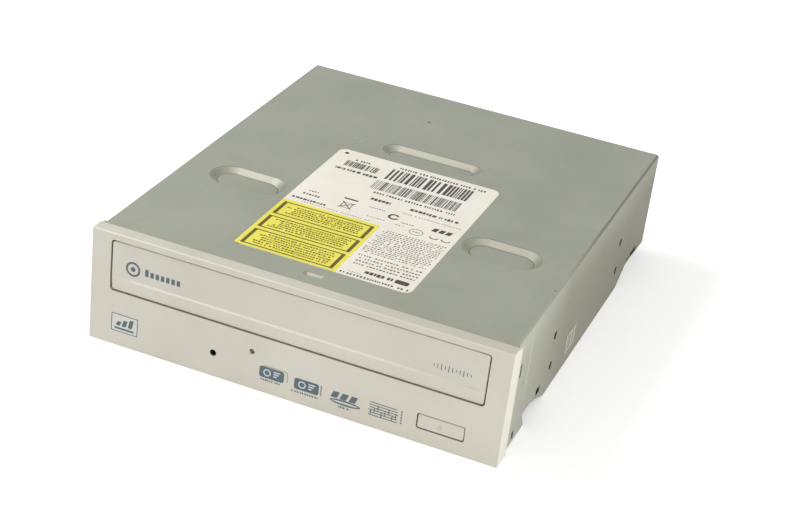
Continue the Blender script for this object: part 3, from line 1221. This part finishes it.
turnedPiece("spindle_table", "spindle", "dark_plastic", ["turntable"], spindle["table"], spindle["middle"],
            sides=72, closed=True, place=hung)
turnedPiece("spindle_tread", "spindle", "black_rubber", (), spindle["tread"], spindle["middle"],
            sides=72, closed=True, place=hung)
turnedPiece("spindle_can", "traverse", "bright_steel", ["spindle_motor"], spindle["motor"], spindle["middle"],
            sides=64, place=hung)
spindleClaws(spindle)
sledMotor(sledDrive)
leadScrew(sledDrive)
for side, x in guideRails["across"]:
    turnedPiece("rail_rod_" + side, "traverse", "bright_steel", ["guide_rail_" + side], guideRails["rod"],
                (x, guideRails["z"]), "y", place=hung)
for i, spot in enumerate(traverseMounts["spots"], 1):
    turnedPiece("mount_rubber_%d" % i, "traverse", "black_rubber", ["damper_%d" % i], traverseMounts["rubber"],
                spot, closed=True, place=hung)
    crossScrew("mount_screw_%d" % i, "damper_screw_%d" % i, "traverse", spot, traverseMounts["screw"], hung)
turnedPiece("lens_dome", "lens", "lens_glass", ["objective_lens"], lens["glass"], lens["middle"], place=hung)
turnedPiece("lens_ring", "lens", "dark_plastic", (), lens["ring"], lens["middle"], closed=True, place=hung)
print("traverse fitted")


# loading drive: motor, belt and gears with involute teeth; a rim is teeth, module, turn and two heights
toothShape = {"slope": 20, "backlash": 0.24, "tip": 0.9, "root": 1.25, "steps": 4}
rackGear = {
    "name": "rack_gear", "body": "loading_gear", "node": "tray_gear", "middle": (-46.0, -68.0), "web": 6.9,
    "hub": [(1.68, 13.6), (2.8, 13.6), (3.0, 13.8), (3.0, 17.7), (6.0, 17.7), (6.4, 17.2), (7.0, 17.2),
            (7.0, 23.6), (6.4, 23.6), (6.1, 23.1), (3.5, 23.1), (3.2, 23.6), (1.68, 23.6)],
    "rims": [(36, 0.6, 0, 17.2, 19.4), (20, 1.0, 0, 20.2, 23.6)],
}
beltWheel = {
    "name": "belt_wheel", "body": "belt_gear", "node": "pulley_gear", "middle": (-30.9, -68.0), "web": 2.9,
    "hub": [(1.68, 13.6), (10.8, 13.6), (11.0, 13.8), (11.0, 14.0), (10.8, 14.2), (9.7, 14.35), (9.7, 16.05),
            (10.8, 16.2), (11.0, 16.4), (11.0, 16.6), (10.8, 16.8), (8.8, 16.8), (8.4, 16.3), (4.3, 16.3),
            (3.2, 16.3), (3.0, 19.8), (1.68, 19.8)],
    "rims": [(14, 0.6, 0.5, 16.2, 19.8)],
}
motor = {
    "middle": (6.0, -63.0),
    "can": [(4.0, 1.7), (4.3, 1.45), (11.4, 1.45), (12.0, 2.1), (12.0, 10.8), (11.4, 11.4), (3.4, 11.4),
            (3.4, 12.4), (3.2, 12.6), (1.18, 12.6), (1.18, 7.4)],
    "pulley": [(0.8, 7.7), (1.0, 7.9), (1.0, 13.6), (3.0, 13.6), (3.2, 13.8), (3.2, 14.0), (1.9, 14.3),
               (1.9, 16.1), (3.2, 16.4), (3.2, 16.6), (3.0, 16.8), (1.1, 16.8)],
}
belt = {"outer": (11.0, 3.2), "thick": 1.0, "heights": (14.5, 15.9), "corner": 0.3, "steps": (32, 16)}


def gearOutline(middle, teeth, module, turned, values=toothShape):
    slope, steps = math.radians(values["slope"]), values["steps"]
    pitch = module * teeth / 2
    base, tip, root = pitch * math.cos(slope), pitch + values["tip"] * module, pitch - values["root"] * module
    start = max(base, root)
    half = (math.pi * module / 4 - values["backlash"] / 2) / pitch + math.tan(slope) - slope
    flank = [(root, half)] if root < base else []
    for step in range(steps + 1):
        radius = start + (tip - start) * step / steps
        press = math.acos(min(1, base / radius))
        flank.append((radius, half - math.tan(press) + press))
    tooth = [(radius, -off) for radius, off in flank] + flank[::-1]
    headings = [2 * math.pi * (number + turned) / teeth for number in range(teeth)]
    return [(middle[0] + radius * math.cos(heading + off), middle[1] + radius * math.sin(heading + off))
            for heading in headings for radius, off in tooth]


def gearWheel(name, body, node, middle, web, hub, rims):
    shell = Shell()
    shell.turned(hub, middle, closed=True)
    for teeth, module, turned, low, high in rims:
        outer, inner = [[shell.ring(onTop(points, z)) for z in (low, high)] for points in
                        (gearOutline(middle, teeth, module, turned), circle(middle, web, 48))]
        shell.loft(outer)
        shell.loft(inner)
        for pair in zip(outer, inner):
            shell.cover(*pair)
    shell.piece(name, body, "white_plastic", [node], sharp=30)


def driveBelt(values):
    shell = Shell()
    start, end = Vector(beltWheel["middle"]), Vector(motor["middle"])
    line, half, steps = end - start, values["thick"] / 2, values["steps"]
    heading = math.atan2(line.y, line.x)
    big, little = [radius - half for radius in values["outer"]]
    lean = math.acos((big - little) / line.length)
    path = [(start, big, heading + lean + (2 * math.pi - 2 * lean) * i / steps[0]) for i in range(steps[0] + 1)]
    path += [(end, little, heading - lean + 2 * lean * i / steps[1]) for i in range(steps[1] + 1)]
    section = outline((-half, half), values["heights"], values["corner"], 0, 3)
    rings = [shell.ring([(spot.x + (radius + off) * math.cos(turn), spot.y + (radius + off) * math.sin(turn), z)
                         for off, z in section]) for spot, radius, turn in path]
    shell.loft(rings + rings[:1])
    shell.piece("belt_loop", "case", "black_rubber", ["drive_belt"])


gearWheel(**rackGear)
gearWheel(**beltWheel)
driveBelt(belt)
turnedPiece("loading_can", "case", "bright_steel", ["loading_motor"], motor["can"], motor["middle"], sides=72)
turnedPiece("shaft_pulley", "motor_shaft", "white_plastic", ["motor_pulley"], motor["pulley"], motor["middle"],
            sides=48)
print("loading drive fitted")


# small parts on the main board: legs round the three large chips, and a sprinkle of plain parts
boardParts = {
    "top": 4.2, "chips": [((1, 23), (30, 52), 5.7, True), ((-39, -21), (19.5, 30.5), 6.3, False),
                          ((32, 52), (26.5, 35.5), 5.4, False)], "chipRoom": 2,
    "leg": 0.3, "legStep": 0.9, "legEnds": (0.9, 1.4),
    "legBends": [((-0.1, 0.5), (0.75, 0.9)), ((0.4, 0.55), (0, 0.9)), ((0.4, 1.3), (0, 0.15))],
    "dot": (1.6, 0.5, -0.1, 0.02), "posts": [(-59.8, 68.0), (59.8, 68.0)], "postRoom": 12,
    "cans": [(-50, 30), (-50, 40), (44, 48)], "canRoom": 6.2,
    "can": [(2.6, 4.2), (2.6, 8.7), (2.3, 9.0), (1.7, 9.0), (1.6, 8.88)],
    "seed": 5, "small": 46, "room": ((-62, 62), (9, 70)), "sizes": [(2.0, 1.2), (1.2, 2.0), (1.6, 0.8)],
    "heights": (0.5, 0.7), "apart": 1.5, "own": 2.4,
}


def chipLegs(legs, values, chip):
    top, (first, ends) = values["top"], values["legEnds"]
    (left, right), (front, rear), _, square = chip
    sides = [(left, -1, True), (right, 1, True)] if square else []
    for edge, way, across in sides + [(front, -1, False), (rear, 1, False)]:
        low, far = (front, rear) if across else (left, right)
        for i in range(int((far - low - ends) / values["legStep"]) + 1):
            beside = span(low + first + i * values["legStep"], values["leg"])
            for outs, rises in values["legBends"]:
                along, heights = sorted(edge + way * out for out in outs), [top + rise for rise in rises]
                legs.block(along if across else beside, beside if across else along, heights)


def boardTrim(values):
    legs, small, cans, dots = Shell(), Shell(), Shell(), Shell()
    top, room, apart = values["top"], values["chipRoom"], values["apart"]
    taken = [span(x, values["postRoom"]) + span(y, values["postRoom"]) for x, y in values["posts"]]
    inset, size, under, over = values["dot"]
    for chip in values["chips"]:
        (left, right), (front, rear), high, _ = chip
        taken.append((left - room, right + room, front - room, rear + room))
        chipLegs(legs, values, chip)
        dots.bore((left + inset, front + inset), size, high + under, high + over, 20)
    for x, y in values["cans"]:
        taken.append(span(x, values["canRoom"]) + span(y, values["canRoom"]))
        cans.turned(values["can"], (x, y))
    draw = random.Random(values["seed"])
    across, along = values["room"]
    placed = 0
    while placed < values["small"]:
        x, y = draw.uniform(*across), draw.uniform(*along)
        if any(a - apart < x < b + apart and c - apart < y < d + apart for a, b, c, d in taken):
            continue
        wide, deep = draw.choice(values["sizes"])
        small.block(span(x, wide), span(y, deep), (top, top + draw.choice(values["heights"])))
        taken.append(span(x, values["own"]) + span(y, values["own"]))
        placed += 1
    legs.piece("chip_legs", "case", "bright_steel")
    dots.piece("chip_dots", "case", "white_plastic")
    cans.piece("board_cans", "case", "bright_steel")
    small.piece("board_chips", "case", "dark_plastic", bevel=0.08)


boardTrim(boardParts)
print("board parts placed")


# labels: thin paper with rounded corners
labels = {"thick": 0.12, "edge": 0.02, "lift": 0.012, "ink": 0.014}
coverPaper = {"name": "cover_paper", "node": "cover_label", "slot": "white_paper", "base": 41.65,
              "shape": ((-31.2, 31.8), (-69.8, 19.1), 3.0, 8)}
noticePaper = {"name": "notice_paper", "node": "notice_label", "slot": "yellow_paper", "base": 41.77,
               "shape": ((-31.1, 5.4), (-69.7, -31.3), 0.8, 8)}
sidePaper = {"name": "side_paper", "node": "side_label", "slot": "white_paper", "base": 73.0,
             "shape": ((-17.0, -6.0), (5.2, 13.1), 0.4, 4), "lay": onSide, "finish": sidePaperFinish}


def paperLabel(name, node, slot, base, shape, lay=onTop, finish=None):
    shell = Shell()
    thick, edge = labels["thick"], labels["edge"]
    shell.slab(*shape, lifted([(0, 0), (0, thick - edge), (-edge, thick)], base), lay=lay)
    shell.piece(name, "case", slot, [node], finish)


paperLabel(**coverPaper)
paperLabel(**noticePaper)
print("labels laid")


# generic print: bars, dashes, rings and ruled boxes, with no letters
dashShape = {"least": 0.35, "end": 0.3, "half": (0.34, 0.5), "wide": 2.6, "wideShare": 0.14,
             "space": (0.7, 1.2), "raggedEnd": 0.3}
stripeUnits = (1, 1, 1, 2, 2, 3)


class Print:
    def __init__(self, seed, lay, base, out=1, lift=labels["lift"], thick=labels["ink"]):
        self.shell, self.random, self.lay = Shell(), random.Random(seed), lay
        self.levels = base + out * lift, base + out * (lift + thick)

    def shape(self, *points):
        self.shell.stack(*[self.lay(points, level) for level in self.levels])

    def bar(self, a, b, lean=0.0):
        self.shape((a[0], b[0]), (a[1], b[0]), (a[1] + lean, b[1]), (a[0] + lean, b[1]))

    def dashes(self, a, middle, tall, longest, space):
        at = a[0]
        while at < a[1] - dashShape["end"]:
            long = min(self.random.uniform(dashShape["least"], longest), a[1] - at)
            low = middle - tall * self.random.uniform(*dashShape["half"])
            high = middle + tall * self.random.uniform(*dashShape["half"])
            self.bar((at, at + long), (low, high))
            gap = space * (dashShape["wide"] if self.random.random() < dashShape["wideShare"] else 1)
            at += long + gap * self.random.uniform(*dashShape["space"])

    def rows(self, a, lines, tall, ragged, longest, space):
        for middle in lines:
            start = a[0] + ragged * self.random.random()
            end = a[1] - dashShape["raggedEnd"] * ragged * self.random.random()
            self.dashes((start, end), middle, tall, longest, space)

    def stripes(self, a, b, unit):
        at = a[0]
        while at < a[1] - unit:
            wide = unit * self.random.choice(stripeUnits)
            self.bar((at, min(at + wide, a[1])), b)
            at += wide + unit * self.random.choice(stripeUnits)

    def column(self, a, b, long, gap):  # short dashes one above the other
        at = b[0]
        while at < b[1]:
            tall = self.random.uniform(*long)
            self.bar(a, (at, at + tall))
            at += tall + self.random.uniform(*gap)

    def loop(self, middle, radii, thick, part=(0, 1), sides=28):
        steps = max(3, round(sides * (part[1] - part[0])))
        turns = [2 * math.pi * (part[0] + (part[1] - part[0]) * i / steps) for i in range(steps + 1)]
        inner = radii[0] - thick, radii[1] - thick
        for first, second in zip(turns, turns[1:]):
            corners = (radii, first), (radii, second), (inner, second), (inner, first)
            self.shape(*[(middle[0] + wide * math.cos(turn), middle[1] + tall * math.sin(turn))
                         for (wide, tall), turn in corners])

    def frame(self, a, b, thick, ends):
        for low, high in ((b[0], b[0] + thick), (b[1] - thick, b[1])):
            self.bar(a, (low, high))
        for left, right in ((a[0], a[0] + ends), (a[1] - ends, a[1])):
            self.bar((left, right), (b[0] + thick, b[1] - thick))

    def patch(self, a, b, corner):
        self.shape(*outline(a, b, corner, 0, 4))

    def dot(self, middle, radius, sides):
        self.shape(*circle(middle, radius, sides))

    def draw(self, rows):  # rows by kind, each as the values of the method for that kind
        kinds = {"stripes": self.stripes, "dashes": self.dashes, "rows": self.rows, "columns": self.column,
                 "bars": self.bar, "loops": self.loop, "frames": self.frame, "patches": self.patch,
                 "dots": self.dot}
        for kind, method in kinds.items():
            for row in rows.get(kind, ()):
                method(*row)
        return self.shell


pen = {"bold": (1.5, 0.35), "plain": (0.8, 0.5), "small": (0.7, 0.45), "fine": (0.7, 0.3)}  # longest, space
coverPrint = {
    "stripes": [((-8.0, 24.2), (4.1, 13.5), 0.42), ((-9.4, 23.9), (-5.9, 1.7), 0.2),
                ((-25.0, -11.9), (6.0, 10.6), 0.22)],
    "dashes": [((-26.6, -9.8), 3.0, 1.7, *pen["bold"]), ((-5.6, 2.0), -13.5, 1.9, *pen["bold"]),
               ((9.4, 27.7), -13.5, 1.9, *pen["bold"]), ((-29.5, -16.8), -27.8, 1.3, *pen["bold"]),
               ((13.9, 23.8), -64.3, 2.2, *pen["bold"]), ((-22.6, -15.8), 12.4, 1.4, *pen["plain"]),
               ((-6.3, 27.5), 15.5, 1.6, *pen["plain"]), ((-6.8, 24.6), -8.3, 1.5, *pen["plain"]),
               ((-27.3, -20.9), -23.3, 1.3, *pen["plain"]), ((6.6, 31.0), -68.1, 1.2, *pen["plain"]),
               ((-26.2, -22.7), -20.4, 0.9, *pen["plain"])],
    "dots": [((-27.8, 16.1), 0.85, 20)],
    "bars": [((-13.6, -8.4), (-18.9, -17.9))]
            + [((21.5 + 2.5 * i, 23.3 + 2.5 * i), (-24.5, -21.9), 0.5) for i in range(3)],
    "loops": [((6.75, -22.2), (2.1, 2.1), 0.85, (0.1, 0.95)), ((24.2, -28.5), (1.7, 1.5), 0.45, (0.5, 1)),
              ((28.5, -28.5), (1.7, 1.5), 0.45, (0.5, 1))],
    "patches": [((24.6, 29.4), (-65.6, -63.0), 0.7)],
}
coverSmallPrint = {
    "dashes": [((8.3, 29.8), -17.6, 0.55, *pen["small"]), ((-25.0, 0.8), -29.7, 0.5, *pen["small"]),
               ((-3.4, 2.8), -19.8, 0.7, *pen["small"]), ((10.6, 15.6), -24.6, 0.7, *pen["small"]),
               ((9.4, 13.8), -27.0, 0.6, *pen["small"]), ((-1.5, 5.0), -26.6, 0.5, *pen["small"]),
               ((9.0, 13.6), -66.4, 0.4, *pen["small"])],
    "rows": [((6.6, 30.7), [-33.2 - 1.28 * i for i in range(15)], 0.62, 2.2, 0.95, 0.5),
             ((6.9, 30.4), [-54.0, -56.2, -58.3, -60.4], 0.95, 2.2, 0.95, 0.5)],
    "loops": [((17.6, -28.5), (2.5, 2.3), 0.25)],
    "bars": [((16.2, 19.0), (-28.7, -28.3)), ((-13.2, -12.6), (-26.0, -21.0), 4.6),
             ((-8.6, -8.0), (-26.0, -21.0), -4.6)],
    "frames": [((-12.6, -8.6), (-25.6, -21.4), 0.3, 0.3)],
}
noticeBoxes = [  # ruled boxes: across, along, and the lines of dashes in each
    ((-29.6, 4.2), (-43.6, -33.2), [-35.6, -37.0, -38.4, -39.8, -41.2]),
    ((-29.6, 4.2), (-55.2, -45.4), [-47.4, -48.8, -50.2, -51.6, -53.0]),
    ((-29.4, 4.0), (-68.5, -57.0), [-59.0, -60.5, -62.0, -63.5, -65.0, -66.4]),
]
noticePrint = {
    "frames": [(across, along, 0.62, 1.25) for across, along, _ in noticeBoxes],
    "rows": [((left + 2.6, right - 2.4), lines, 0.85, 3.4, 1.0, 0.34)
             for (left, right), _, lines in noticeBoxes],
}
sidePrint = {"columns": [((low, low + 0.75), (6.0, 12.1), (0.6, 1.5), (0.15, 0.35))
                         for low in (-15.3, -13.6, -12.4, -9.8, -8.4)]}
# marks on the bezel: a panel with rising bars, two filled plates with a sheet behind one and a strip beside the
# other, a bold wave over a thin disc, and a block of fine ruled lines
bezelMarks = {
    "frames": [((-65.6, -55.6), (5.5, 12.3), 0.28, 0.28)],
    "patches": [((-10.2, -1.3), (5.9, 10.1), 0.9), ((2.4, 11.2), (5.5, 9.7), 0.9)],
    "loops": [((-0.9, 9.6), (0.9, 0.9), 0.16, (0, 0.25), 24), ((20.7, 5.8), (5.4, 1.0), 0.62, (0, 1), 32)],
    "dashes": [((-9.6, -2.6), 5.1, 0.75, *pen["fine"]), ((1.6, 11.6), 4.5, 0.7, 0.75, 0.28),
               ((18.4, 22.6), 4.0, 0.7, *pen["fine"])],
    "bars": [((-63.9 + 2.3 * i, -62.4 + 2.3 * i), (7.9, 9.5 + 0.8 * i), 0.7) for i in range(3)]
            + [((-64.3, -57.0), (6.5, 7.2)), ((-8.6, -0.9), (10.34, 10.5)), ((-0.16, 0.0), (6.6, 9.6))]
            + [((11.75, 12.3), (5.8 + 0.8 * i, 6.3 + 0.8 * i)) for i in range(5)]
            + [((15.4 + 3.2 * i, 17.6 + 3.2 * i), (6.9, 9.3), 1.0) for i in range(3)]
            + [((28.9 + 0.3 * (i % 2), 39.1 - 0.25 * (i % 3)), (4.75 + 0.95 * i, 5.05 + 0.95 * i))
               for i in range(6)]
            + [((29.5 + 1.25 * i, 29.78 + 1.25 * i), (5.05 + 0.95 * (i % 3), 6.95 + 0.95 * (i % 3)))
               for i in range(8)]
            + [((40.0, 40.5), (4.9 + 1.05 * i, 5.5 + 1.05 * i)) for i in range(5)],
}
panelGround = {"patches": [((-65.6, -55.6), (5.5, 12.3), 0.5)]}
plateLines = {
    "loops": [(middle, (1.35, 1.35), 0.42, (0, 1), 20) for middle in ((-7.4, 8.0), (5.2, 7.6))],
    "bars": [((x + 2.3, x + 4.7 - 0.6 * i), (z + 0.75 - 0.85 * i, z + 1.2 - 0.85 * i))
             for x, z in ((-7.4, 8.0), (5.2, 7.6)) for i in range(3)],
}
doorMarks = {
    "loops": [((-58.5, 30.5), (2.7, 2.7), 0.75, (0, 1), 36)], "dots": [((-58.5, 30.5), 0.9, 16)],
    "bars": [((-54.0 + 1.95 * i, -52.75 + 1.95 * i), (29.3, 31.3 if i else 31.9)) for i in range(7)]
            + [((48.4 + 1.24 * i, 48.66 + 1.24 * i), span(29.9, tall))
               for i, tall in enumerate((1.0, 1.7, 2.3, 1.3, 2.3, 1.7, 1.0, 1.5, 2.1, 1.5, 1.0))],
}


def inked(name, body, slot, tone, rows, *place, **style):
    Print(*place, **style).draw(rows).piece(name, body, slot, (), ink[tone])


coverTop, noticeTop = coverPaper["base"] + labels["thick"], noticePaper["base"] + labels["thick"]
bezelFront, doorFront = bezelFace["front"], doorFace["front"] + doorFace["recess"]
inked("cover_print", "case", "dark_plastic", "black", coverPrint, 11, onTop, coverTop)
inked("cover_small_print", "case", "dark_plastic", "grey", coverSmallPrint, 12, onTop, coverTop)
inked("notice_print", "case", "yellow_paper", "olive", noticePrint, 23, onTop, noticeTop)
paperLabel(**sidePaper)
inked("side_print", "case", "dark_plastic", "umber", sidePrint, 5, onSide, sidePaper["base"] + labels["thick"])
inked("bezel_marks", "case", "dark_plastic", "slate", bezelMarks, 41, onFront, bezelFront, -1)
inked("panel_ground", "case", "bezel_plastic", "ground", panelGround, 42, onFront, bezelFront, -1,
      lift=0.002, thick=0.006)
inked("plate_lines", "case", "bezel_plastic", "pale", plateLines, 43, onFront, bezelFront, -1, lift=0.0302)
inked("door_marks", "tray", "dark_plastic", "slate", doorMarks, 44, onFront, doorFront, -1)
print("generic print laid")


# eject button, with a generic triangle and bar
ejectKey = {
    "span": ((45.65, 61.55), (5.705, 10.855)), "front": -86.9, "corner": 0.7, "edge": 0.4,
    "flange": [(0, 3.2), (1.0, 3.2), (1.0, 4.0)], "markDepth": (-0.02, 0.01),
    "marks": [[(52.45, 8.1), (54.35, 8.1), (53.4, 9.05)],
              [(52.45, 7.43), (54.35, 7.43), (54.35, 7.75), (52.45, 7.75)]],
}


def ejectButton(values):
    key, mark, front = Shell(), Shell(), values["front"]
    key.slab(*values["span"], values["corner"], 5,
             lifted(roundedEdge(values["edge"]) + values["flange"], front), lay=onFront)
    key.piece("eject_key", "button", "bezel_plastic", ["eject_button"])
    for points in values["marks"]:
        mark.stack(*[onFront(points, front + depth) for depth in values["markDepth"]])
    mark.piece("key_mark", "button", "bezel_plastic", (), ink["button"])


ejectButton(ejectKey)
print("eject button fitted")


# floor and light
studio = {
    "floorSize": 8.0, "floor": (shade(250, 250, 249), shade(247, 247, 246)), "haze": 400, "floorRoughness": 0.9,
    "floorGlow": 0.31, "world": 0.48, "aim": (0, 0, 0.02),
    "softboxes": {"main": ((-0.7, -0.1, 0.7), 0.5, 6.3), "side": ((0.75, -0.1, 0.12), 0.7, 6.2),
                  "front": ((0.3, -0.8, 0.25), 0.4, 0.3)},
}


def setStage(values):
    half = values["floorSize"] / 2
    data = bpy.data.meshes.new("floor")
    corners = [(-half, -half, 0), (half, -half, 0), (half, half, 0), (-half, half, 0)]
    data.from_pydata(corners, [], [(0, 1, 2, 3)])
    floor = bpy.data.objects.new("floor", data)
    bpy.context.scene.collection.objects.link(floor)
    paint = Paint("studio floor", roughness=values["floorRoughness"])
    paint.set(colour=paint.mix(*values["floor"], paint.noise(values["haze"])), glow=(1.0, 1.0, 1.0),
              glowStrength=values["floorGlow"])
    data.materials.append(paint.material)
    world = bpy.data.worlds.new("studio")
    bpy.context.scene.world = world
    world.use_nodes = True
    backdrop = world.node_tree.nodes["Background"]
    backdrop.inputs["Color"].default_value = (1, 1, 1, 1)
    backdrop.inputs["Strength"].default_value = values["world"]
    for name, (place, size, power) in values["softboxes"].items():
        data = bpy.data.lights.new(name + " softbox", "AREA")
        data.shape, data.size, data.energy = "DISK", size, power
        lamp = bpy.data.objects.new(name + " softbox", data)
        lamp.location = place
        lamp.rotation_euler = (Vector(place) - Vector(values["aim"])).to_track_quat("Z", "Y").to_euler()
        bpy.context.scene.collection.objects.link(lamp)
    bpy.context.scene.view_settings.view_transform = "Standard"


setStage(studio)
print("stage lit")


# carried-over solids take their finish from the record's slots
carried = {"joined": 1e-6, "flat": 1, "edge": 0.18, "sharp": 30}
for row in frame["record"]["subparts"]:
    held = frame["nodes"][row["node"]]
    held.data.materials.clear()
    held.data.materials.append(finishes[row["material_slot"]])
    if not held.hide_render:
        held.modifiers.new("joined", "WELD").merge_threshold = carried["joined"]
        flat = held.modifiers.new("flat", "DECIMATE")
        flat.decimate_type, flat.angle_limit = "DISSOLVE", math.radians(carried["flat"])
        soften(held, carried["edge"], carried["sharp"])
